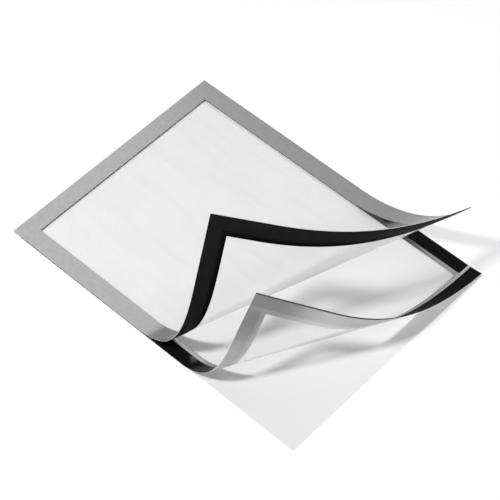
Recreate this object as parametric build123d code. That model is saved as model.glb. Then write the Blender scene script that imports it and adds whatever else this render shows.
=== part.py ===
from build123d import *
import math
import os

# Sizes are in millimetres and angles in degrees.
# The sheets are laid out flat first: u runs from the hinge edge to the free edge, and v from the left edge
# to the right edge. Rolling the sheets up comes after that.

# Insert sheet that the frame shows
insert_length = 297.0
insert_width = 210.0
insert_clearance = 1.0
window_overlap = 3.5

# Magnet strips
magnet_width = 12.0
magnet_thickness = 0.3
magnet_tape_thickness = 0.1
rear_corner_gap = 3.0
front_corner_gap = 0.3

# Films, borders and adhesive
liner_thickness = 0.2
mounting_tape_width = 14.0
mounting_tape_thickness = 0.15
mounting_tape_inset = 1.0
mounting_tape_gap = 0.5
rear_film_thickness = 0.2
rear_border_thickness = 0.1
front_mask_thickness = 0.1
front_film_thickness = 0.2
front_border_thickness = 0.1

# Hinge film, folded between the leaves along the hinge edge
hinge_film_width = 10.0
hinge_film_thickness = 0.1
hinge_fold_radius = 0.05

# Roll of the rear leaf: how far from the free edge it lifts, its bend radius at each long edge, and its turn
rear_lift_left = 124.0
rear_lift_right = 15.0
rear_radius_left = 28.5
rear_radius_right = 59.5
rear_turn_angle = 110.5

# The cover leaf rolls further than the rear leaf by these amounts
cover_lead_left = 46.0
cover_lead_right = 119.0
cover_radius_gain_left = 7.5
cover_radius_gain_right = 53.0
cover_extra_angle = 14.0

# Flat facets that stand for the round part of each roll
roll_facets = 32

# Sizes that follow from those above
border_width = magnet_width + insert_clearance + window_overlap
frame_length = insert_length + 2 * (insert_clearance + magnet_width)
frame_width = insert_width + 2 * (insert_clearance + magnet_width)

# Heights of the stack, from the table up
mounting_tape_level = liner_thickness
rear_film_level = mounting_tape_level + mounting_tape_thickness
rear_border_level = rear_film_level + rear_film_thickness
rear_tape_level = rear_border_level + rear_border_thickness
rear_magnet_level = rear_tape_level + magnet_tape_thickness
hinge_film_level = rear_magnet_level + magnet_thickness
hinge_axis_level = hinge_film_level + hinge_film_thickness + hinge_fold_radius
front_magnet_level = 2 * hinge_axis_level - hinge_film_level
front_tape_level = front_magnet_level + magnet_thickness
front_mask_level = front_tape_level + magnet_tape_thickness
front_film_level = front_mask_level + front_mask_thickness
front_border_level = front_film_level + front_film_thickness

# Points closer than this to a crease lie on it
on_crease = 1e-6


class Roll:
    """A leaf that lies flat, then rolls up round a cone, then runs straight to its free corner.

    Points of the flat leaf are measured from the cone's tip, which every crease runs through.
    """

    def __init__(self, lift_left, lift_right, radius_left, radius_right, turn, level):
        start_left = Vector(frame_length - lift_left, 0)
        start_right = Vector(frame_length - lift_right, frame_width)
        first = start_right - start_left
        tip_distance = first.length * radius_left / (radius_right - radius_left)
        # Unrolled, the cone is a fan about its tip: its angle is the turn times the tangent of the half angle
        fan_angle = turn * radius_left / tip_distance
        self.tip = start_left - first.normalized() * tip_distance
        self.level = level
        self.fold = turn / roll_facets
        self.creases = []
        for index in range(roll_facets):
            along = first.normalized().rotate(Axis.Z, -fan_angle * (index + 0.5) / roll_facets)
            across = along.rotate(Axis.Z, -90)
            self.creases.append((Axis((0, 0, 0), along), across))

    def place(self, point, height):
        """Where a point of the flat leaf, at a height in the stack, lies once the leaf is rolled."""
        above = height - self.level
        spot = point + Vector(0, 0, above)
        for crease, across in reversed(self.creases):
            past = across.dot(point)
            if abs(past) < on_crease:
                mitre = point + Vector(0, 0, above / math.cos(math.radians(self.fold / 2)))
                spot = mitre.rotate(crease, -self.fold / 2)
            elif past > 0:
                spot = spot.rotate(crease, -self.fold)
        return spot + self.tip + Vector(-frame_length / 2, -frame_width / 2, self.level)

    def facets(self, panel):
        """The flat pieces that the creases cut a rectangular panel into."""
        low_u, high_u, low_v, high_v = panel
        corners = [(low_u, low_v), (high_u, low_v), (high_u, high_v), (low_u, high_v)]
        rest = [Vector(*corner) - self.tip for corner in corners]
        pieces = []
        for crease, across in self.creases:
            pieces.append(clip(rest, across * -1))
            rest = clip(rest, across)
        return [piece for piece in pieces + [rest] if len(piece) > 2]

    def layer(self, panels, bottom, thickness):
        """One rolled layer of the leaf, made of panels that meet edge to edge."""
        top = bottom + thickness
        faces = []
        edges = {}
        for piece in [piece for panel in panels for piece in self.facets(panel)]:
            faces.append(polygon([self.place(point, top) for point in piece]))
            faces.append(polygon([self.place(point, bottom) for point in reversed(piece)]))
            for start, end in zip(piece, piece[1:] + piece[:1]):
                edge = frozenset(corner_key(point) for point in (start, end))
                edges.setdefault(edge, []).append((start, end))
        for start, end in [uses[0] for uses in edges.values() if len(uses) == 1]:
            low_start, low_end = self.place(start, bottom), self.place(end, bottom)
            high_start, high_end = self.place(start, top), self.place(end, top)
            faces.append(polygon([low_start, low_end, high_end]))
            faces.append(polygon([low_start, high_end, high_start]))
        return Solid(Shell(faces))


def clip(outline, across):
    """The part of a flat outline on the side of a crease that a direction across it points to."""
    kept = []
    for start, end in zip(outline, outline[1:] + outline[:1]):
        start_past = across.dot(start)
        end_past = across.dot(end)
        if start_past >= -on_crease:
            kept.append(start)
        if min(start_past, end_past) < -on_crease and max(start_past, end_past) > on_crease:
            kept.append(start + (end - start) * (start_past / (start_past - end_past)))
    return kept


def polygon(points):
    """A flat face through points in order."""
    return Face(Wire.make_polygon(points, close=True))


def corner_key(point):
    """A flat point rounded so that the same corner of two pieces compares equal."""
    return round(point.X, 5), round(point.Y, 5)


def whole_sheet():
    """The full outline of a leaf."""
    return [(0, frame_length, 0, frame_width)]


def border_ring():
    """The border round the window, as eight panels."""
    rows = [0, border_width, frame_length - border_width, frame_length]
    columns = [0, border_width, frame_width - border_width, frame_width]
    cells = [(row, column) for row in range(3) for column in range(3) if (row, column) != (1, 1)]
    return [(rows[row], rows[row + 1], columns[column], columns[column + 1]) for row, column in cells]


def edge_strips(width, inset, gap):
    """Four strips along the edges: the short ones run right across and the long ones fit between them."""
    low_u, high_u = inset, frame_length - inset
    low_v, high_v = inset, frame_width - inset
    long_start, long_end = low_u + width + gap, high_u - width - gap
    return {
        "top": (low_u, low_u + width, low_v, high_v),
        "bottom": (high_u - width, high_u, low_v, high_v),
        "left": (long_start, long_end, low_v, low_v + width),
        "right": (long_start, long_end, high_v - width, high_v),
    }


def release_liner():
    """The flat sheet that covers the adhesive."""
    return Box(frame_length, frame_width, liner_thickness, align=(Align.CENTER, Align.CENTER, Align.MIN))


def hinge_film():
    """A film folded double along the hinge edge, one half bonded to each leaf."""
    fold_outside = hinge_fold_radius + hinge_film_thickness
    fold_line = Pos(-frame_length / 2, 0, hinge_axis_level)
    inner_end = (Align.MIN, Align.CENTER, Align.CENTER)
    across = Rot(90, 0, 0)
    halves = Box(hinge_film_width, frame_width, 2 * fold_outside, align=inner_end)
    halves += across * Cylinder(fold_outside, frame_width)
    slit = Box(hinge_film_width, frame_width, 2 * hinge_fold_radius, align=inner_end)
    slit += across * Cylinder(hinge_fold_radius, frame_width)
    return fold_line * (halves - slit)


def rear_leaf():
    """The leaf that sticks to a wall: its adhesive, film, border and magnet strips."""
    roll = Roll(
        rear_lift_left,
        rear_lift_right,
        rear_radius_left,
        rear_radius_right,
        rear_turn_angle,
        rear_film_level + rear_film_thickness / 2,
    )
    nodes = {
        "rear_film": roll.layer(whole_sheet(), rear_film_level, rear_film_thickness),
        "rear_border": roll.layer(border_ring(), rear_border_level, rear_border_thickness),
    }
    for name, strip in edge_strips(mounting_tape_width, mounting_tape_inset, mounting_tape_gap).items():
        nodes["mounting_tape_" + name] = roll.layer([strip], mounting_tape_level, mounting_tape_thickness)
    for name, strip in edge_strips(magnet_width, 0, rear_corner_gap).items():
        nodes["rear_magnet_tape_" + name] = roll.layer([strip], rear_tape_level, magnet_tape_thickness)
        nodes["rear_magnet_" + name] = roll.layer([strip], rear_magnet_level, magnet_thickness)
    return nodes


def front_leaf():
    """The cover leaf: its magnet strips, black mask, clear window and silver border."""
    roll = Roll(
        rear_lift_left + cover_lead_left,
        rear_lift_right + cover_lead_right,
        rear_radius_left + cover_radius_gain_left,
        rear_radius_right + cover_radius_gain_right,
        rear_turn_angle + cover_extra_angle,
        front_film_level + front_film_thickness / 2,
    )
    nodes = {
        "front_mask": roll.layer(border_ring(), front_mask_level, front_mask_thickness),
        "front_film": roll.layer(whole_sheet(), front_film_level, front_film_thickness),
        "front_border": roll.layer(border_ring(), front_border_level, front_border_thickness),
    }
    for name, strip in edge_strips(magnet_width, 0, front_corner_gap).items():
        nodes["front_magnet_" + name] = roll.layer([strip], front_magnet_level, magnet_thickness)
        nodes["front_magnet_tape_" + name] = roll.layer([strip], front_tape_level, magnet_tape_thickness)
    return nodes


os.makedirs("parts", exist_ok=True)
nodes = {"release_liner": release_liner(), "hinge_film": hinge_film(), **rear_leaf(), **front_leaf()}
for name, shape in nodes.items():
    export_step(shape, "parts/" + name + ".step")
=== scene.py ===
import math

import bmesh
import bpy
from bpy.props import FloatProperty, FloatVectorProperty, IntProperty, PointerProperty
from mathutils import Euler, Matrix, Vector


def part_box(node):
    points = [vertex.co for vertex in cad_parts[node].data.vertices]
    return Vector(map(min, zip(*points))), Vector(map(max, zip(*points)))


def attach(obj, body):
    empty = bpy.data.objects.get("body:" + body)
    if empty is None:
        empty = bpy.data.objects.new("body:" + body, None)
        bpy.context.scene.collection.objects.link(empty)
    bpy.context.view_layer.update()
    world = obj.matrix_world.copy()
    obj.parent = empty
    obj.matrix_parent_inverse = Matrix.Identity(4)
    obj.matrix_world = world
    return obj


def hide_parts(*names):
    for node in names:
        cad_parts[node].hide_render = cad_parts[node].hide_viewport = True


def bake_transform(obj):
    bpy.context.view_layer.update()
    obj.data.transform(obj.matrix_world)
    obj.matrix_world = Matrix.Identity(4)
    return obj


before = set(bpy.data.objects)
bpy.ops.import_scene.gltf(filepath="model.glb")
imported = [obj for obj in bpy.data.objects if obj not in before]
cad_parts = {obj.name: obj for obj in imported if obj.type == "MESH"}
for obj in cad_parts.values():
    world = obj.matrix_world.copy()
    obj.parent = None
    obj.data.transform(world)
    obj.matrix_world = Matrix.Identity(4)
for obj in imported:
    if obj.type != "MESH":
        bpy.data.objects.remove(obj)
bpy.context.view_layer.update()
liner_low, liner_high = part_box("release_liner")

bl_info = {
    "name": "Magnetic sheet frame",
    "version": (1, 0, 0),
    "blender": (4, 5, 0),
    "location": "View3D > Sidebar > Sheet Frame",
    "description": "Builds a magnetic frame for one sheet of paper, half peeled from its release liner",
    "category": "Object",
}

# Each sheet remembers where its points lay before it was rolled, in metres from its hinge and left edges
FLAT_MAP = "flat sheet"
# A point closer than this to a crease lies on it
ON_CREASE = 2e-6
# Edges that turn by more than this stay crisp
CRISP_TURN = math.radians(20)
# Share of a sheet's thickness that is eased off its edges
EASED_EDGE = 0.12
# Steps round the fold of the hinge film
FOLD_STEPS = 16
# Half the width over which the edge of a print blurs
PRINT_BLUR = 0.0003
# Grain and depth of the flakes in the silver print
FLAKE_GRAIN = 0.0004
FLAKE_DEPTH = 0.000004
# How far a clear film slants when its haze sets in: 0 is face on and 1 is edge on
REAR_HAZE_SLANT = 0.66
COVER_HAZE_SLANT = 0.58
# How far the floor reaches, how far it lies under the liner, and where it starts and ends its fade to white
FLOOR_REACH = 15
FLOOR_DROP = 0.0001
FLOOR_FADE = (0.5, 2.5)
# Width of the camera's sensor in millimetres, and how far the camera sees
SENSOR_WIDTH = 36
SIGHT_REACH = 100
# Clear surfaces that a ray may pass
CLEAR_SURFACES = 32


def length_property(name, description, default):
    """A size in metres."""
    return FloatProperty(
        name=name, description=description, default=default, min=0, precision=5, unit="LENGTH"
    )


def place_property(name, description, default):
    """A place in metres."""
    return FloatVectorProperty(
        name=name,
        description=description,
        default=default,
        precision=5,
        subtype="TRANSLATION",
        unit="LENGTH",
    )


def angle_property(name, description, degrees):
    """An angle, given in degrees."""
    return FloatProperty(name=name, description=description, default=math.radians(degrees), unit="ROTATION")


def level_property(name, description, default):
    """A brightness, in which 1 shows a white sheet as white."""
    return FloatProperty(name=name, description=description, default=default, min=0)


def colour_property(name, description, default):
    """A colour, in linear light."""
    return FloatVectorProperty(
        name=name, description=description, default=default, min=0, max=1, size=3, subtype="COLOR"
    )


class SheetSizes(bpy.types.PropertyGroup):
    """Outlines of the flat sheets and strips"""

    length: length_property("Length", "From the hinge edge to the free edge", liner_high.x - liner_low.x)
    width: length_property("Width", "From the left edge to the right edge", liner_high.y - liner_low.y)
    border: length_property("Border", "Width of the border round the window", 0.0165)
    magnet_width: length_property("Magnets", "From a leaf's edge to the inner edge of its magnets", 0.012)
    dense_print: length_property("Dense print", "From the edge to the mask's densest band", 0.0134)
    rear_corner_gap: length_property("Rear corner gap", "Gap between the rear magnets at a corner", 0.003)
    cover_corner_gap: length_property("Cover corner gap", "Gap between the cover's magnets", 0.0003)
    cover_rim: length_property("Cover rim", "Milky margin of the cover's film outside its magnets", 0.0003)
    rear_rim: length_property("Rear rim", "Silver margin of the rear leaf outside its magnets", 0.0006)
    free_step: length_property("Free step", "Rear magnet past its film at the free edge", 0.0012)
    window_step: length_property("Window step", "How far the rear border is short of the cover's", 0.0004)
    tape_width: length_property("Mounting tape", "Width of the adhesive strips on the back", 0.014)
    tape_inset: length_property("Tape inset", "From the leaf's edge to the mounting tape", 0.001)
    tape_gap: length_property("Tape gap", "Gap between the mounting tapes at a corner", 0.0005)
    hinge_width: length_property("Hinge film", "Width of each half of the folded hinge film", 0.010)


class StackSizes(bpy.types.PropertyGroup):
    """Thickness of each layer"""

    liner: length_property("Liner", "Thickness of the release liner", liner_high.z - liner_low.z)
    mounting_tape: length_property("Mounting tape", "Thickness of the mounting tape", 0.00015)
    film: length_property("Film", "Thickness of each clear film", 0.0002)
    print_layer: length_property("Border", "Thickness of a border or of the black mask", 0.0001)
    magnet_tape: length_property("Magnet tape", "Thickness of the tape that holds a magnet", 0.0001)
    magnet: length_property("Magnet", "Thickness of a magnet strip", 0.0003)
    hinge_film: length_property("Hinge film", "Thickness of the hinge film", 0.0001)
    hinge_slit: length_property("Hinge slit", "Slit inside the folded hinge film", 0.0001)
    air: length_property("Air", "Hair of air between a clear layer and its neighbours", 0.00001)


class RollSizes(bpy.types.PropertyGroup):
    """How far each leaf is peeled up, and how tightly it rolls"""

    rear_lift_left: length_property("Rear lift, left", "From the free edge to the rear leaf's bend", 0.124)
    rear_lift_right: length_property("Rear lift, right", "The same along the right edge", 0.015)
    rear_radius_left: length_property("Rear radius, left", "Rear leaf's bend at its left edge", 0.0285)
    rear_radius_right: length_property("Rear radius, right", "Rear leaf's bend at its right edge", 0.0595)
    rear_turn: angle_property("Rear turn", "How far the rear leaf turns up", 110.5)
    cover_lift_left: length_property("Cover lift, left", "From the free edge to the cover's bend", 0.170)
    cover_lift_right: length_property("Cover lift, right", "The same along the right edge", 0.134)
    cover_radius_left: length_property("Cover radius, left", "Cover's bend at its left edge", 0.036)
    cover_radius_right: length_property("Cover radius, right", "Cover's bend at its right edge", 0.1125)
    cover_turn: angle_property("Cover turn", "How far the cover turns up", 124.5)
    creases: IntProperty(name="Creases", description="Small folds of each roll", default=96, min=8)


class FinishColours(bpy.types.PropertyGroup):
    """Colours of the materials"""

    silver: colour_property("Silver", "Satin metallic print of the borders", (0.265, 0.265, 0.265))
    rear_silver: colour_property("Rear silver", "Face of the rear border", (0.30, 0.30, 0.30))
    rear_back: colour_property("Rear back", "Back of the rear border, under its film", (0.62, 0.62, 0.62))
    rear_magnet: colour_property("Rear magnets", "Magnet strips of the rear leaf", (0.0018, 0.0018, 0.0019))
    cover_magnet: colour_property("Cover magnets", "Magnets under the cover", (0.0068, 0.0068, 0.0069))
    mask: colour_property("Mask", "Black print behind the cover's border", (0.0012, 0.0012, 0.0012))
    film: colour_property("Film", "Haze of the clear films", (0.70, 0.70, 0.70))
    rim: colour_property("Rim", "Cut edge of the cover's film", (0.95, 0.95, 0.95))
    liner: colour_property("Liner", "Release liner", (0.755, 0.755, 0.755))
    adhesive: colour_property("Adhesive", "Clear adhesive tapes", (0.70, 0.70, 0.69))


class StageSettings(bpy.types.PropertyGroup):
    """Camera, lamps and floor"""

    camera_place: place_property("Camera place", "Where the camera stands", (0.67396, -0.70406, 1.28587))
    camera_turn: FloatVectorProperty(
        name="Camera turn",
        description="Which way the camera looks",
        default=(math.radians(37.2626), math.radians(0.4191), math.radians(42.9764)),
        subtype="EULER",
    )
    camera_lens: FloatProperty(
        name="Lens",
        description="Focal length in millimetres, on a 36 mm sensor",
        default=137.0125,
        min=1,
        unit="CAMERA",
    )
    key_place: place_property("Key place", "Where the small key lamp hangs", (-0.375, -0.783, 1.358))
    key_size: length_property("Key size", "Width of the key lamp", 0.2)
    key_level: level_property("Key level", "Light that the key lamp adds to a level sheet", 0.53)
    panel_place: place_property("Panel place", "Where the white panel stands", (-0.98, 0.21, 1.2))
    panel_width: length_property("Panel width", "Width of the white panel", 1.2)
    panel_height: length_property("Panel height", "Height of the white panel", 0.9)
    panel_level: level_property("Panel level", "How bright the panel looks in a mirror", 0.72)
    fill_place: place_property("Fill place", "Where the low fill lamp stands", (1.1, 0.7, 0.65))
    fill_width: length_property("Fill width", "Width of the fill lamp", 1.0)
    fill_height: length_property("Fill height", "Height of the fill lamp", 0.7)
    fill_level: level_property("Fill level", "How bright the fill lamp looks in a mirror", 4.2)
    sky_level: level_property("Sky level", "Light from all round", 0.19)
    floor: colour_property("Floor", "Table under the frame", (0.96, 0.96, 0.96))
    floor_glow: FloatProperty(
        name="Floor glow",
        description="Share of plain white in what the camera sees of the floor",
        default=0.55,
        min=0,
        max=1,
        subtype="FACTOR",
    )


class Tone:
    """A number that changes over a surface: one socket of a finish. Sums on it add Math nodes."""

    def __init__(self, finish, socket):
        self.finish = finish
        self.socket = socket

    def __add__(self, other):
        return self.finish.sum("ADD", self, other)

    def __radd__(self, other):
        return self.finish.sum("ADD", other, self)

    def __sub__(self, other):
        return self.finish.sum("SUBTRACT", self, other)

    def __rsub__(self, other):
        return self.finish.sum("SUBTRACT", other, self)

    def __mul__(self, other):
        return self.finish.sum("MULTIPLY", self, other)

    def __rmul__(self, other):
        return self.finish.sum("MULTIPLY", other, self)

    def __pow__(self, other):
        return self.finish.sum("POWER", self, other)

    def least(self, other):
        """The smaller of two numbers."""
        return self.finish.sum("MINIMUM", self, other)

    def most(self, other):
        """The larger of two numbers."""
        return self.finish.sum("MAXIMUM", self, other)

    def fade(self, start, end):
        """Rises softly from 0 at start to 1 at end."""
        return self.finish.node(
            "ShaderNodeMapRange",
            {"interpolation_type": "SMOOTHSTEP"},
            {"Value": self, "From Min": start, "From Max": end},
        )

    def step(self, place, blur=PRINT_BLUR):
        """Rises from 0 to 1 at a place, over a blurred edge."""
        return self.fade(place - blur, place + blur)


class Finish:
    """The nodes of a material or of the world."""

    def __init__(self, owner):
        owner.use_nodes = True
        self.owner = owner
        self.tree = owner.node_tree
        self.tree.nodes.clear()

    def node(self, kind, settings, sockets, output=0):
        """Adds a node with its settings and its sockets' values or links. Gives one of its outputs."""
        made = self.tree.nodes.new(kind)
        for name, value in settings.items():
            setattr(made, name, value)
        for name, value in sockets.items():
            if isinstance(value, Tone):
                self.tree.links.new(value.socket, made.inputs[name])
            else:
                made.inputs[name].default_value = value
        return Tone(self, made.outputs[output]) if made.outputs else None

    def sum(self, operation, first, second):
        """A Math node."""
        return self.node("ShaderNodeMath", {"operation": operation}, {0: first, 1: second})

    def mix(self, share, first, second):
        """A colour between two others."""
        return self.node("ShaderNodeMix", {"data_type": "RGBA"}, {0: share, 6: first, 7: second}, 2)

    def flat_place(self):
        """Where a point of a sheet was before the sheet was rolled."""
        return self.node("ShaderNodeUVMap", {"uv_map": FLAT_MAP}, {})

    def flat_sides(self):
        """Distance of a point of a flat sheet from its hinge edge, and from its left edge."""
        return [self.node("ShaderNodeSeparateXYZ", {}, {0: self.flat_place()}, side) for side in ("X", "Y")]

    def from_edges(self, sizes):
        """Distance of a point of a flat sheet from its nearer short edge, and from its nearer long edge."""
        along, across = self.flat_sides()
        return along.least(sizes.length - along), across.least(sizes.width - across)

    def noise(self, grain, detail=2.0, stretch=(1, 1, 1)):
        """A soft random pattern on the flat sheet, with patches about as wide as the grain, in metres."""
        spread = self.node("ShaderNodeMapping", {}, {"Vector": self.flat_place(), "Scale": stretch})
        return self.node(
            "ShaderNodeTexNoise",
            {"noise_dimensions": "2D"},
            {"Vector": spread, "Scale": 1 / grain, "Detail": detail},
        )

    def bump(self, height, depth):
        """A surface normal from a height, in which 1 stands for the depth in metres."""
        return self.node("ShaderNodeBump", {}, {"Height": height, "Strength": 1.0, "Distance": depth})

    def plastic(self, sockets):
        """A Principled shader."""
        return self.node("ShaderNodeBsdfPrincipled", {}, sockets)

    def over_clear(self, share, clearness, shader):
        """A shader that covers a share of a clear surface."""
        through = self.node("ShaderNodeBsdfTransparent", {}, {"Color": opaque([clearness] * 3)})
        return self.node("ShaderNodeMixShader", {}, {0: share, 1: through, 2: shader})

    def surface(self, shader, kind="ShaderNodeOutputMaterial"):
        """Makes a shader the surface of the material."""
        self.node(kind, {}, {"Surface": shader})
        return self.owner


def new_finish(name):
    """An empty material to add nodes to."""
    return Finish(bpy.data.materials.new(name))


def opaque(colour):
    """A colour as a socket takes it."""
    return (*colour, 1.0)


def shade_of(colour, amount):
    """A colour made lighter or darker."""
    return opaque([min(1.0, part * amount) for part in colour])


def flaked_silver(finish, colour):
    """The flakes of a silver print, and its faintly mottled colour."""
    flakes = finish.noise(FLAKE_GRAIN, detail=3.0)
    mottle = finish.noise(grain=0.004, detail=3.0)
    share = (0.6 * flakes + 0.4 * mottle).fade(0.3, 0.7)
    return flakes, finish.mix(share, shade_of(colour, 0.93), shade_of(colour, 1.07))


def metallic_print(finish, flakes, colour, metallic, roughness):
    """Makes a silver print the surface of a material."""
    return finish.surface(
        finish.plastic(
            {
                "Base Color": colour,
                "Metallic": metallic,
                "Roughness": roughness,
                "Normal": finish.bump(flakes, FLAKE_DEPTH),
            }
        )
    )


def satin_silver(name, sizes, rolls, colour):
    """Face of the cover's border: satin silver, with painted shade where the left edge bends up."""
    finish = new_finish(name)
    flakes, silver = flaked_silver(finish, colour)
    along, across = finish.flat_sides()
    bend = sizes.length - rolls.cover_lift_left
    # Painted shade: the silver is darkened where the left edge bends up
    painted_bend_shade = along.fade(bend, bend + 0.02) * (1 - along.fade(bend + 0.037, bend + 0.057))
    at_left = 1 - across.fade(sizes.border, 2 * sizes.border)
    silver = finish.mix(painted_bend_shade * at_left, silver, shade_of(colour, 0.74))
    return metallic_print(finish, flakes, silver, metallic=0.8, roughness=0.20 + 0.05 * flakes)


def rear_silver(name, sizes, colour):
    """Face of the rear border: satin silver, with painted highlights in the corner gaps and beside the
    magnets, and painted shade along its left border strip.
    """
    finish = new_finish(name)
    flakes, silver = flaked_silver(finish, colour)
    from_end, from_side = finish.from_edges(sizes)
    along, across = finish.flat_sides()
    strip = sizes.magnet_width
    gap_end = strip + sizes.rear_corner_gap
    past_end, past_side = (edge.step(strip) * (1 - edge.step(gap_end)) for edge in (from_end, from_side))
    at_corner = 1 - from_side.step(strip)
    at_free_edge = along.fade(sizes.length / 2, sizes.length * 0.6)
    at_left = 1 - across.fade(sizes.border, 2 * sizes.border)
    # Painted highlights: lighter silver in the corner gaps, beside the magnets along the free end and
    # beside the left magnets
    light = (past_end * at_corner.most(0.7 * at_free_edge)).most(0.3 * past_side * at_left)
    # Painted shade along the left border strip
    silver = finish.mix(0.8 * at_left, silver, shade_of(colour, 0.65))
    silver = finish.mix(light, silver, shade_of(colour, 1.5))
    return metallic_print(finish, flakes, silver, metallic=0.8, roughness=0.22 + 0.06 * flakes)


def rear_back_silver(name, sizes, colour):
    """Back of the rear border: darker where a magnet lies behind it, with painted shade that deepens
    towards its rolled-up corner.
    """
    finish = new_finish(name)
    from_end, from_side = finish.from_edges(sizes)
    along, across = finish.flat_sides()
    strip = sizes.magnet_width
    gap_end = strip + sizes.rear_corner_gap
    short_strips = 1 - from_end.step(strip)
    long_strips = from_end.step(gap_end) * (1 - from_side.step(strip))
    # Painted shade: the back of the print is darkened towards the rolled-up corner
    corner_length, corner_width = 0.078, 0.07
    down_length = (sizes.length - along) * (1 / corner_length)
    down_width = across * (1 / corner_width)
    beyond_painted_shade = ((down_length**2.0 + down_width**2.0) ** 0.5).fade(0.35, 1.0)
    flakes = finish.noise(FLAKE_GRAIN, detail=3.0)
    mottle = finish.noise(grain=0.008, detail=3.0)
    share = (0.5 * flakes + 0.5 * mottle).fade(0.3, 0.7)
    bare = finish.mix(share, shade_of(colour, 1.10), shade_of(colour, 1.22))
    bare = finish.mix(beyond_painted_shade, shade_of(colour, 0.46), bare)
    backed = finish.mix(share, shade_of(colour, 0.89), shade_of(colour, 1.01))
    backed = finish.mix(beyond_painted_shade, shade_of(colour, 0.33), backed)
    silver = finish.mix(short_strips.most(long_strips), bare, backed)
    return metallic_print(finish, flakes, silver, metallic=0.7, roughness=0.26 + 0.08 * flakes)


def bend_polish(finish, sizes, rolls):
    """Polish of the rear left magnet: a patch where it bends up, then a duller gap, then the steep part."""
    along, across = finish.flat_sides()
    # Places are in metres past the line where the leaf starts to bend
    slope = (rolls.rear_lift_left - rolls.rear_lift_right) / sizes.width
    past_bend = along - slope * across - (sizes.length - rolls.rear_lift_left)
    patch = past_bend.fade(-0.0045, -0.0015) * (1 - past_bend.fade(0.0, 0.0065))
    steep = past_bend.fade(0.0095, 0.017)
    on_left = 1 - across.fade(sizes.magnet_width, sizes.border)
    return (0.8 * patch + 0.42 * steep) * on_left


def flexible_magnet(finish, colour, polish=0.0):
    """Filled rubber strip: matt charcoal with a fine calendered grain, dusty patches and some polish."""
    grain = finish.noise(grain=0.0003, detail=4.0)
    dust = finish.noise(grain=0.012, detail=4.0)
    share = (0.6 * grain + 0.4 * dust).fade(0.35, 0.75)
    return finish.surface(
        finish.plastic(
            {
                "Base Color": finish.mix(share, shade_of(colour, 0.75), shade_of(colour, 1.6)),
                "Roughness": 0.50 + 0.15 * dust,
                "Specular IOR Level": 0.06,
                "Coat Weight": polish,
                "Coat Roughness": 0.12,
                "Normal": finish.bump(grain, depth=0.00001),
            }
        )
    )


def black_print(name, sizes, colours):
    """Black print: as deep as the magnets beside them, and densest in a band round the window."""
    finish = new_finish(name)
    from_end, from_side = finish.from_edges(sizes)
    dense = from_end.least(from_side).step(sizes.dense_print, blur=0.0004)
    grain = finish.noise(grain=0.0005, detail=3.0)
    share = grain.fade(0.35, 0.7)
    plain = finish.mix(share, shade_of(colours.cover_magnet, 0.75), shade_of(colours.cover_magnet, 1.25))
    deep = finish.mix(share, shade_of(colours.mask, 0.7), shade_of(colours.mask, 1.5))
    return finish.surface(
        finish.plastic(
            {
                "Base Color": finish.mix(dense, plain, deep),
                "Roughness": 0.55 + 0.1 * grain,
                "Specular IOR Level": 0.03,
                "Normal": finish.bump(grain, depth=0.000004),
            }
        )
    )


def clear_film(name, sizes, colours, rim, haze_slant):
    """Clear film: hardly seen face on, hazy where it bends away, with faint streaks and a milky rim."""
    finish = new_finish(name)
    from_end, from_side = finish.from_edges(sizes)
    edge = 1 - from_end.least(from_side).fade(rim * 0.9, rim * 1.05)
    streaks = finish.noise(grain=0.01, stretch=(0.15, 1, 1)).fade(0.4, 0.8)
    _, across = finish.flat_sides()
    slant = finish.node("ShaderNodeLayerWeight", {}, {"Blend": 0.5}, "Facing")
    right = across.fade(0.0, 0.16)
    haze = (0.08 + 0.12 * right) * (slant + 0.1 * right).fade(haze_slant, haze_slant + 0.14)
    seen = 0.010 + 0.008 * streaks + haze + 0.8 * slant**8.0
    film = finish.plastic(
        {
            "Base Color": finish.mix(edge, opaque(colours.film), opaque(colours.rim)),
            "Roughness": 0.10 + 0.06 * streaks,
            "Specular IOR Level": 0.1,
        }
    )
    return finish.surface(finish.over_clear(seen.most(0.92 * edge), clearness=0.996, shader=film))


def clear_adhesive(name, colour):
    """Clear acrylic tape: a soft haze with fine bubbles."""
    finish = new_finish(name)
    clouds = finish.noise(grain=0.004, detail=4.0)
    bubbles = finish.noise(grain=0.0004, detail=1.0).fade(0.62, 0.72)
    tape = finish.plastic(
        {
            "Base Color": finish.mix(clouds, shade_of(colour, 0.92), shade_of(colour, 1.06)),
            "Roughness": 0.22 + 0.12 * clouds,
            "Normal": finish.bump(clouds, depth=0.00002),
        }
    )
    seen = 0.04 + 0.03 * clouds + 0.05 * bubbles
    return finish.surface(finish.over_clear(seen, clearness=0.985, shader=tape))


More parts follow.
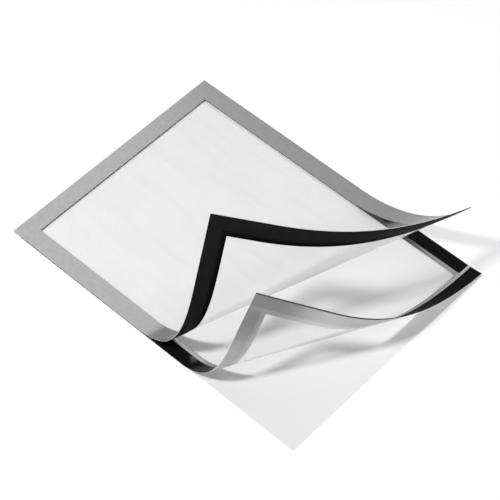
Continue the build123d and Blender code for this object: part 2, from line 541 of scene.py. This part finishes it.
def release_film(name, sizes, colour):
    """Release liner: pale and faintly clouded, with painted shade towards its left free corner, painted
    light towards its right one and a painted highlight along its cut edge.
    """
    finish = new_finish(name)
    from_end, from_side = finish.from_edges(sizes)
    along, across = finish.flat_sides()
    edge = 1 - from_end.least(from_side).fade(0.0005, 0.0009)
    # Painted light towards the right free corner and painted shade towards the left one
    at_free_edge = along.fade(sizes.length * 0.92, sizes.length * 0.96)
    painted_light_at_right_corner = at_free_edge * across.fade(sizes.width * 0.5, sizes.width)
    at_left = 1 - across.fade(0, sizes.width * 0.55)
    painted_shade_at_left_corner = along.fade(sizes.length * 0.4, sizes.length * 0.8) * at_left
    clouds = finish.noise(grain=0.03, detail=3.0)
    fibres = finish.noise(grain=0.0006, detail=3.0, stretch=(0.3, 1, 1))
    share = (0.6 * clouds + 0.4 * fibres).fade(0.3, 0.7)
    pale = finish.mix(share, shade_of(colour, 0.985), shade_of(colour, 1.015))
    pale = finish.mix(painted_shade_at_left_corner, pale, shade_of(colour, 0.90))
    pale = finish.mix(painted_light_at_right_corner, pale, shade_of(colour, 1.28))
    # Painted highlight along the cut edge
    painted_edge_highlight = opaque((0.98, 0.98, 0.98))
    return finish.surface(
        finish.plastic(
            {
                "Base Color": finish.mix(edge, pale, painted_edge_highlight),
                "Roughness": 0.42 + 0.08 * clouds,
                "Specular IOR Level": 0.25,
                "Normal": finish.bump(fibres, depth=0.000003),
            }
        )
    )


class Roll:
    """The creases of a peeled-up leaf: they fan out from the tip of a cone, and each turns it a little."""

    def __init__(self, sizes, creases, lift_left, lift_right, radius_left, radius_right, turn, level):
        start_left = Vector((sizes.length - lift_left, 0, level))
        start_right = Vector((sizes.length - lift_right, sizes.width, level))
        first = (start_right - start_left).normalized()
        tip_distance = (start_right - start_left).length * radius_left / (radius_right - radius_left)
        fan = turn * radius_left / tip_distance
        self.tip = start_left - first * tip_distance
        self.fold = turn / creases
        self.creases = []
        for index in range(creases):
            along = Matrix.Rotation(-fan * (index + 0.5) / creases, 3, "Z") @ first
            self.creases.append((along, Vector((along.y, -along.x, 0))))

    def bend(self, bm):
        """Cuts a flat piece along the creases, and folds it at each, from the free edge inwards."""
        for _, across in self.creases:
            cut(bm, self.tip, across)
        keep_flat_place(bm)
        spots = [(vert, vert.co - self.tip) for vert in bm.verts]
        for along, across in reversed(self.creases):
            past = [(vert, across.dot(spot)) for vert, spot in spots]
            beyond = [vert for vert, distance in past if distance > 2 * ON_CREASE]
            on = [vert for vert, distance in past if abs(distance) <= 2 * ON_CREASE]
            for verts, turn in ((beyond, self.fold), (on, self.fold / 2)):
                bmesh.ops.rotate(bm, cent=self.tip, matrix=Matrix.Rotation(-turn, 3, along), verts=verts)


def cut(bm, spot, across):
    """Cuts a bmesh along a plane."""
    everything = bm.verts[:] + bm.edges[:] + bm.faces[:]
    bmesh.ops.bisect_plane(bm, geom=everything, dist=ON_CREASE, plane_co=spot, plane_no=across)


def keep_flat_place(bm):
    """Stores where each point of a sheet is while it is still flat."""
    flat_map = bm.loops.layers.uv.new(FLAT_MAP)
    for face in bm.faces:
        for loop in face.loops:
            loop[flat_map].uv = loop.vert.co.xy


def layer_levels(scene):
    """Height of each layer's underside above the table."""
    stack = scene.sheet_frame_stack
    layers = (
        ("liner", stack.liner),
        ("mounting_tape", stack.mounting_tape),
        ("rear_film", stack.film),
        ("rear_border", stack.print_layer),
        ("rear_magnet_tape", stack.magnet_tape),
        ("rear_magnet", stack.magnet),
        ("hinge", 2 * stack.hinge_film + stack.hinge_slit),
        ("cover_magnet", stack.magnet),
        ("cover_magnet_tape", stack.magnet_tape),
        ("mask", stack.print_layer),
        ("cover_film", stack.film),
        ("cover_border", stack.print_layer),
    )
    levels = {}
    height = 0.0
    for name, thickness in layers:
        levels[name] = height
        height += thickness
    return levels


def rear_roll(scene):
    """The roll of the rear leaf."""
    rolls = scene.sheet_frame_rolls
    return Roll(
        scene.sheet_frame_sizes,
        rolls.creases,
        rolls.rear_lift_left,
        rolls.rear_lift_right,
        rolls.rear_radius_left,
        rolls.rear_radius_right,
        rolls.rear_turn,
        layer_levels(scene)["rear_film"] + scene.sheet_frame_stack.film / 2,
    )


def cover_roll(scene):
    """The roll of the cover leaf."""
    rolls = scene.sheet_frame_rolls
    return Roll(
        scene.sheet_frame_sizes,
        rolls.creases,
        rolls.cover_lift_left,
        rolls.cover_lift_right,
        rolls.cover_radius_left,
        rolls.cover_radius_right,
        rolls.cover_turn,
        layer_levels(scene)["cover_film"] + scene.sheet_frame_stack.film / 2,
    )


def level_square(reach):
    """A new bmesh with one level square, which reaches as far to each side of the middle."""
    bm = bmesh.new()
    bmesh.ops.create_grid(bm, x_segments=1, y_segments=1, size=reach)
    return bm


def slab(low, high, bottom, thickness, window=None):
    """A flat sheet between two corners, with eased edges, and a window cut out if one is given."""
    bm = level_square(reach=0.5)
    size = Vector(high) - Vector(low)
    middle = (Vector(high) + Vector(low)) / 2
    bmesh.ops.scale(bm, vec=(size.x, size.y, 1), verts=bm.verts)
    bmesh.ops.translate(bm, vec=(middle.x, middle.y, bottom), verts=bm.verts)
    if window:
        cut_window(bm, *window)
    push_out(bm, bm.faces[:], (0, 0, thickness))
    bmesh.ops.recalc_face_normals(bm, faces=bm.faces)
    rims = [edge for edge in bm.edges if edge.calc_face_angle(0) > CRISP_TURN]
    bmesh.ops.bevel(
        bm, geom=rims, offset=thickness * EASED_EDGE, segments=1, profile=0.5, affect="EDGES", material=-1
    )
    return bm


def push_out(bm, faces, way):
    """Extrudes faces some way, and gives the faces at the far end."""
    grown = bmesh.ops.extrude_face_region(bm, geom=faces)["geom"]
    bmesh.ops.translate(bm, vec=way, verts=[part for part in grown if isinstance(part, bmesh.types.BMVert)])
    return [part for part in grown if isinstance(part, bmesh.types.BMFace)]


def cut_window(bm, low, high):
    """Cuts a rectangular window out of a flat sheet."""
    for corner in (low, high):
        cut(bm, (*corner, 0), (1, 0, 0))
        cut(bm, (*corner, 0), (0, 1, 0))
    middle = (Vector(low) + Vector(high)) / 2
    pane = min(bm.faces, key=lambda face: (face.calc_center_median().xy - middle).length)
    bmesh.ops.delete(bm, geom=[pane], context="FACES")


def whole_sheet(sizes, inset=0.0):
    """Corners of a leaf, drawn in by an inset."""
    return (inset, inset), (sizes.length - inset, sizes.width - inset)


def edge_strips(sizes, reach, inset, free_inset, gap):
    """Corners of strips from an inset to a reach off the edges. Long ones run between the short ones."""
    length, width = sizes.length, sizes.width
    long_start, long_end = reach + gap, length - reach - gap
    return {
        "top": ((inset, inset), (reach, width - inset)),
        "bottom": ((length - reach, inset), (length - free_inset, width - inset)),
        "left": ((long_start, inset), (long_end, reach)),
        "right": ((long_start, width - reach), (long_end, width - inset)),
    }


def add_piece(scene, bm, name, node, slot, *finishes):
    """Turns a finished bmesh into a piece of the frame that stands for a node."""
    sizes = scene.sheet_frame_sizes
    bmesh.ops.translate(bm, vec=(-sizes.length / 2, -sizes.width / 2, 0), verts=bm.verts)
    for face in bm.faces:
        face.smooth = True
    mesh = bpy.data.meshes.new(name)
    bm.to_mesh(mesh)
    bm.free()
    mesh.set_sharp_from_angle(angle=CRISP_TURN)
    for finish in finishes:
        mesh.materials.append(finish)
    piece = bpy.data.objects.new(name, mesh)
    scene.collection.objects.link(piece)
    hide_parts(node)
    return piece


def add_strips(scene, strips, level, thickness, roll, label, finish, node, slot, body):
    """Adds the four strips of one kind, rolled with their leaf."""
    for side, (low, high) in strips.items():
        bm = slab(low, high, level, thickness)
        roll.bend(bm)
        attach(add_piece(scene, bm, label + side, node + side, slot, finish), body)


class MakeReleaseLiner(bpy.types.Operator):
    """Makes the pale release liner that lies flat on the table"""

    bl_idname = "sheet_frame.release_liner"
    bl_label = "Release liner"

    def execute(self, context):
        scene = context.scene
        sizes = scene.sheet_frame_sizes
        bm = slab(*whole_sheet(sizes), 0.0, scene.sheet_frame_stack.liner)
        keep_flat_place(bm)
        finish = release_film("pale release film", sizes, scene.sheet_frame_colours.liner)
        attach(add_piece(scene, bm, "peeled_release_liner", "release_liner", "liner", finish), "liner")
        return {"FINISHED"}


class MakeMountingTapes(bpy.types.Operator):
    """Makes the four clear adhesive strips on the back of the rear leaf"""

    bl_idname = "sheet_frame.mounting_tapes"
    bl_label = "Mounting tapes"

    def execute(self, context):
        scene = context.scene
        sizes, stack = scene.sheet_frame_sizes, scene.sheet_frame_stack
        inset = sizes.tape_inset
        add_strips(
            scene,
            edge_strips(sizes, inset + sizes.tape_width, inset, inset, sizes.tape_gap),
            layer_levels(scene)["mounting_tape"] + stack.air,
            stack.mounting_tape - 2 * stack.air,
            rear_roll(scene),
            "adhesive_strip_",
            clear_adhesive("clear mounting adhesive", scene.sheet_frame_colours.adhesive),
            "mounting_tape_",
            "adhesive",
            "rear_leaf",
        )
        return {"FINISHED"}


class MakeRearSheet(bpy.types.Operator):
    """Makes the clear sheet of the rear leaf and its silver border"""

    bl_idname = "sheet_frame.rear_sheet"
    bl_label = "Rear sheet and border"

    def execute(self, context):
        scene = context.scene
        sizes, stack, colours = scene.sheet_frame_sizes, scene.sheet_frame_stack, scene.sheet_frame_colours
        levels, roll = layer_levels(scene), rear_roll(scene)
        corner = (0.0, 0.0)
        far_corner = (sizes.length - sizes.free_step, sizes.width)
        sheet = slab(corner, far_corner, levels["rear_film"] + stack.air, stack.film - 2 * stack.air)
        roll.bend(sheet)
        film = clear_film("clear rear film", sizes, colours, stack.film, REAR_HAZE_SLANT)
        piece = add_piece(scene, sheet, "rear_clear_sheet", "rear_film", "clear_film", film)
        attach(piece, "rear_leaf")
        window = whole_sheet(sizes, sizes.border - sizes.window_step)
        border = slab(corner, far_corner, levels["rear_border"], stack.print_layer, window)
        # The underside shows the back of the print
        for face in border.faces:
            face.material_index = 1 if face.normal.z < -0.5 else 0
        roll.bend(border)
        face_print = rear_silver("rear silver print", sizes, colours.rear_silver)
        back_print = rear_back_silver("back of the rear silver print", sizes, colours.rear_back)
        prints = (face_print, back_print)
        piece = add_piece(scene, border, "rear_silver_border", "rear_border", "silver", *prints)
        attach(piece, "rear_leaf")
        return {"FINISHED"}


class MakeRearMagnets(bpy.types.Operator):
    """Makes the four magnet strips of the rear leaf and the tapes that hold them"""

    bl_idname = "sheet_frame.rear_magnets"
    bl_label = "Rear magnets"

    def execute(self, context):
        scene = context.scene
        sizes, stack, colours = scene.sheet_frame_sizes, scene.sheet_frame_stack, scene.sheet_frame_colours
        levels, roll = layer_levels(scene), rear_roll(scene)
        strips = edge_strips(sizes, sizes.magnet_width, sizes.rear_rim, 0.0, sizes.rear_corner_gap)
        finish = new_finish("rear flexible magnet")
        polish = bend_polish(finish, sizes, scene.sheet_frame_rolls)
        add_strips(
            scene,
            strips,
            levels["rear_magnet_tape"] + stack.air,
            stack.magnet_tape - 2 * stack.air,
            roll,
            "rear_magnet_bond_",
            clear_adhesive("rear magnet adhesive", colours.adhesive),
            "rear_magnet_tape_",
            "adhesive",
            "rear_leaf",
        )
        add_strips(
            scene,
            strips,
            levels["rear_magnet"],
            stack.magnet,
            roll,
            "rear_black_strip_",
            flexible_magnet(finish, colours.rear_magnet, polish),
            "rear_magnet_",
            "magnet",
            "rear_leaf",
        )
        return {"FINISHED"}


class MakeHingeFilm(bpy.types.Operator):
    """Makes the film that is folded between the leaves along the hinge edge"""

    bl_idname = "sheet_frame.hinge_film"
    bl_label = "Hinge film"

    def execute(self, context):
        scene = context.scene
        sizes, stack = scene.sheet_frame_sizes, scene.sheet_frame_stack
        bottom = layer_levels(scene)["hinge"]
        axis = bottom + stack.hinge_film + stack.hinge_slit / 2
        bm = level_square(reach=0.5)
        bmesh.ops.scale(bm, vec=(stack.hinge_film - stack.air, sizes.width, 1), verts=bm.verts)
        bmesh.ops.rotate(bm, cent=(0, 0, 0), matrix=Matrix.Rotation(math.pi / 2, 3, "Y"), verts=bm.verts)
        start = (sizes.hinge_width, sizes.width / 2, bottom + (stack.hinge_film + stack.air) / 2)
        bmesh.ops.translate(bm, vec=start, verts=bm.verts)
        end = push_out(bm, bm.faces[:], (-sizes.hinge_width, 0, 0))
        spun = bmesh.ops.spin(
            bm,
            geom=end,
            cent=(0, 0, axis),
            axis=(0, 1, 0),
            dvec=(0, 0, 0),
            angle=math.pi,
            steps=FOLD_STEPS,
        )
        end = [part for part in spun["geom_last"] if isinstance(part, bmesh.types.BMFace)]
        push_out(bm, end, (sizes.hinge_width, 0, 0))
        bmesh.ops.recalc_face_normals(bm, faces=bm.faces)
        keep_flat_place(bm)
        colours = scene.sheet_frame_colours
        finish = clear_film("clear hinge film", sizes, colours, stack.film, REAR_HAZE_SLANT)
        piece = add_piece(scene, bm, "folded_hinge_film", "hinge_film", "clear_film", finish)
        half_slit = stack.hinge_slit / 2
        axis - half_slit
        axis + half_slit
        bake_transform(piece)
        return {"FINISHED"}


class MakeCoverMagnets(bpy.types.Operator):
    """Makes the four magnet strips under the cover leaf and the tapes that hold them"""

    bl_idname = "sheet_frame.cover_magnets"
    bl_label = "Cover magnets"

    def execute(self, context):
        scene = context.scene
        sizes, stack, colours = scene.sheet_frame_sizes, scene.sheet_frame_stack, scene.sheet_frame_colours
        levels, roll = layer_levels(scene), cover_roll(scene)
        rim = sizes.cover_rim
        strips = edge_strips(sizes, sizes.magnet_width, rim, rim, sizes.cover_corner_gap)
        add_strips(
            scene,
            strips,
            levels["cover_magnet"],
            stack.magnet,
            roll,
            "cover_black_strip_",
            flexible_magnet(new_finish("cover flexible magnet"), colours.cover_magnet),
            "front_magnet_",
            "magnet",
            "front_leaf",
        )
        add_strips(
            scene,
            strips,
            levels["cover_magnet_tape"] + stack.air,
            stack.magnet_tape - 2 * stack.air,
            roll,
            "cover_magnet_bond_",
            clear_adhesive("cover magnet adhesive", colours.adhesive),
            "front_magnet_tape_",
            "adhesive",
            "front_leaf",
        )
        return {"FINISHED"}


class MakeCoverSheet(bpy.types.Operator):
    """Makes the clear window of the cover leaf, its black mask and its silver border"""

    bl_idname = "sheet_frame.cover_sheet"
    bl_label = "Cover window and border"

    def execute(self, context):
        scene = context.scene
        sizes, stack, colours = scene.sheet_frame_sizes, scene.sheet_frame_stack, scene.sheet_frame_colours
        levels, roll = layer_levels(scene), cover_roll(scene)
        window = whole_sheet(sizes, sizes.border)
        mask = slab(*whole_sheet(sizes, sizes.cover_rim), levels["mask"], stack.print_layer, window)
        roll.bend(mask)
        finish = black_print("black mask print", sizes, colours)
        piece = add_piece(scene, mask, "cover_black_mask", "front_mask", "black_mask", finish)
        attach(piece, "front_leaf")
        sheet = slab(*whole_sheet(sizes), levels["cover_film"] + stack.air, stack.film - 2 * stack.air)
        roll.bend(sheet)
        finish = clear_film("clear cover film", sizes, colours, sizes.cover_rim, COVER_HAZE_SLANT)
        piece = add_piece(scene, sheet, "cover_clear_window", "front_film", "clear_film", finish)
        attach(piece, "front_leaf")
        border = slab(*whole_sheet(sizes), levels["cover_border"], stack.print_layer, window)
        roll.bend(border)
        finish = satin_silver("satin silver print", sizes, scene.sheet_frame_rolls, colours.silver)
        piece = add_piece(scene, border, "cover_silver_border", "front_border", "silver", finish)
        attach(piece, "front_leaf")
        return {"FINISHED"}


class SetStage(bpy.types.Operator):
    """Sets up the floor, the lamps, the sky and the camera"""

    bl_idname = "sheet_frame.stage"
    bl_label = "Stage"

    def execute(self, context):
        scene = context.scene
        stage = scene.sheet_frame_stage
        self.lay_floor(scene, stage)
        self.light_sky(scene, stage)
        key = self.hang_lamp(scene, "small_key", stage.key_place, stage.key_size, stage.key_size)
        # A small lamp lights a level sheet less with distance, and less the lower it hangs
        distance = key.location.length
        key.data.energy = 4 * math.pi * stage.key_level * distance**3 / key.location.z
        # The power of a wide lamp is four times its brightness times its area
        panel = self.hang_lamp(
            scene, "white_panel", stage.panel_place, stage.panel_width, stage.panel_height
        )
        panel.data.energy = 4 * stage.panel_level * stage.panel_width * stage.panel_height
        fill = self.hang_lamp(scene, "low_fill", stage.fill_place, stage.fill_width, stage.fill_height)
        fill.data.energy = 4 * stage.fill_level * stage.fill_width * stage.fill_height
        self.place_camera(scene, stage)
        scene.view_settings.view_transform = "Standard"
        scene.cycles.transparent_max_bounces = CLEAR_SURFACES
        return {"FINISHED"}

    def seen_rays(self, finish):
        """1 for rays that come from the camera, straight or by way of gloss or glass."""
        camera, glossy, clear = (
            finish.node("ShaderNodeLightPath", {}, {}, kind)
            for kind in ("Is Camera Ray", "Is Glossy Ray", "Is Transmission Ray")
        )
        return camera.most(glossy).most(clear)

    def lay_floor(self, scene, stage):
        """A wide pale table that keeps the shadow of the frame."""
        bm = level_square(FLOOR_REACH)
        bmesh.ops.translate(bm, vec=(0, 0, -FLOOR_DROP), verts=bm.verts)
        mesh = bpy.data.meshes.new("pale_floor")
        bm.to_mesh(mesh)
        bm.free()
        finish = new_finish("pale floor")
        paint = finish.node("ShaderNodeBsdfDiffuse", {}, {"Color": opaque(stage.floor)})
        white = finish.node("ShaderNodeEmission", {}, {"Strength": 1.0})
        place = finish.node("ShaderNodeTexCoord", {}, {}, "Object")
        away = finish.node("ShaderNodeVectorMath", {"operation": "LENGTH"}, {0: place}, "Value")
        share = self.seen_rays(finish) * away.fade(*FLOOR_FADE).most(stage.floor_glow)
        mesh.materials.append(
            finish.surface(finish.node("ShaderNodeMixShader", {}, {0: share, 1: paint, 2: white}))
        )
        floor = bpy.data.objects.new("pale_floor", mesh)
        scene.collection.objects.link(floor)

    def light_sky(self, scene, stage):
        """Even light from all round, seen as white."""
        scene.world = bpy.data.worlds.new("soft studio")
        finish = Finish(scene.world)
        soft = finish.node("ShaderNodeBackground", {}, {"Color": (1, 1, 1, 1), "Strength": stage.sky_level})
        white = finish.node("ShaderNodeBackground", {}, {"Color": (1, 1, 1, 1), "Strength": 1.0})
        sky = finish.node("ShaderNodeMixShader", {}, {0: self.seen_rays(finish), 1: soft, 2: white})
        finish.surface(sky, "ShaderNodeOutputWorld")

    def hang_lamp(self, scene, name, place, width, height):
        """A lamp that is turned to the middle of the frame."""
        lamp = bpy.data.lights.new(name, "AREA")
        lamp.shape = "RECTANGLE"
        lamp.size = width
        lamp.size_y = height
        hung = bpy.data.objects.new(name, lamp)
        hung.location = place
        hung.rotation_euler = (-Vector(place)).to_track_quat("-Z", "Y").to_euler()
        scene.collection.objects.link(hung)
        return hung

    def place_camera(self, scene, stage):
        """The camera, where the photograph was taken from."""
        lens = bpy.data.cameras.new("photo_camera")
        lens.sensor_width = SENSOR_WIDTH
        lens.lens = stage.camera_lens
        lens.clip_end = SIGHT_REACH
        camera = bpy.data.objects.new("photo_camera", lens)
        camera.location = stage.camera_place
        camera.rotation_euler = Euler(stage.camera_turn, "XYZ")
        scene.collection.objects.link(camera)
        scene.camera = camera


OPERATORS = (
    MakeReleaseLiner,
    MakeMountingTapes,
    MakeRearSheet,
    MakeRearMagnets,
    MakeHingeFilm,
    MakeCoverMagnets,
    MakeCoverSheet,
    SetStage,
)


class SheetFramePanel(bpy.types.Panel):
    """Lists the steps that build the frame"""

    bl_idname = "VIEW3D_PT_sheet_frame"
    bl_label = "Magnetic sheet frame"
    bl_space_type = "VIEW_3D"
    bl_region_type = "UI"
    bl_category = "Sheet Frame"

    def draw(self, context):
        for step in OPERATORS:
            self.layout.operator(step.bl_idname)


SETTINGS = {
    "sheet_frame_sizes": SheetSizes,
    "sheet_frame_stack": StackSizes,
    "sheet_frame_rolls": RollSizes,
    "sheet_frame_colours": FinishColours,
    "sheet_frame_stage": StageSettings,
}


def register():
    """Adds the settings, the steps and the panel to Blender."""
    for name, group in SETTINGS.items():
        bpy.utils.register_class(group)
        setattr(bpy.types.Scene, name, PointerProperty(type=group))
    for step in (*OPERATORS, SheetFramePanel):
        bpy.utils.register_class(step)


def unregister():
    """Takes them out again."""
    for step in (SheetFramePanel, *reversed(OPERATORS)):
        bpy.utils.unregister_class(step)
    for name, group in SETTINGS.items():
        delattr(bpy.types.Scene, name)
        bpy.utils.unregister_class(group)


def main():
    """Builds the frame and its stage."""
    register()
    bpy.ops.sheet_frame.release_liner()
    bpy.ops.sheet_frame.mounting_tapes()
    bpy.ops.sheet_frame.rear_sheet()
    bpy.ops.sheet_frame.rear_magnets()
    bpy.ops.sheet_frame.hinge_film()
    bpy.ops.sheet_frame.cover_magnets()
    bpy.ops.sheet_frame.cover_sheet()
    bpy.ops.sheet_frame.stage()


if __name__ == "__main__":
    main()
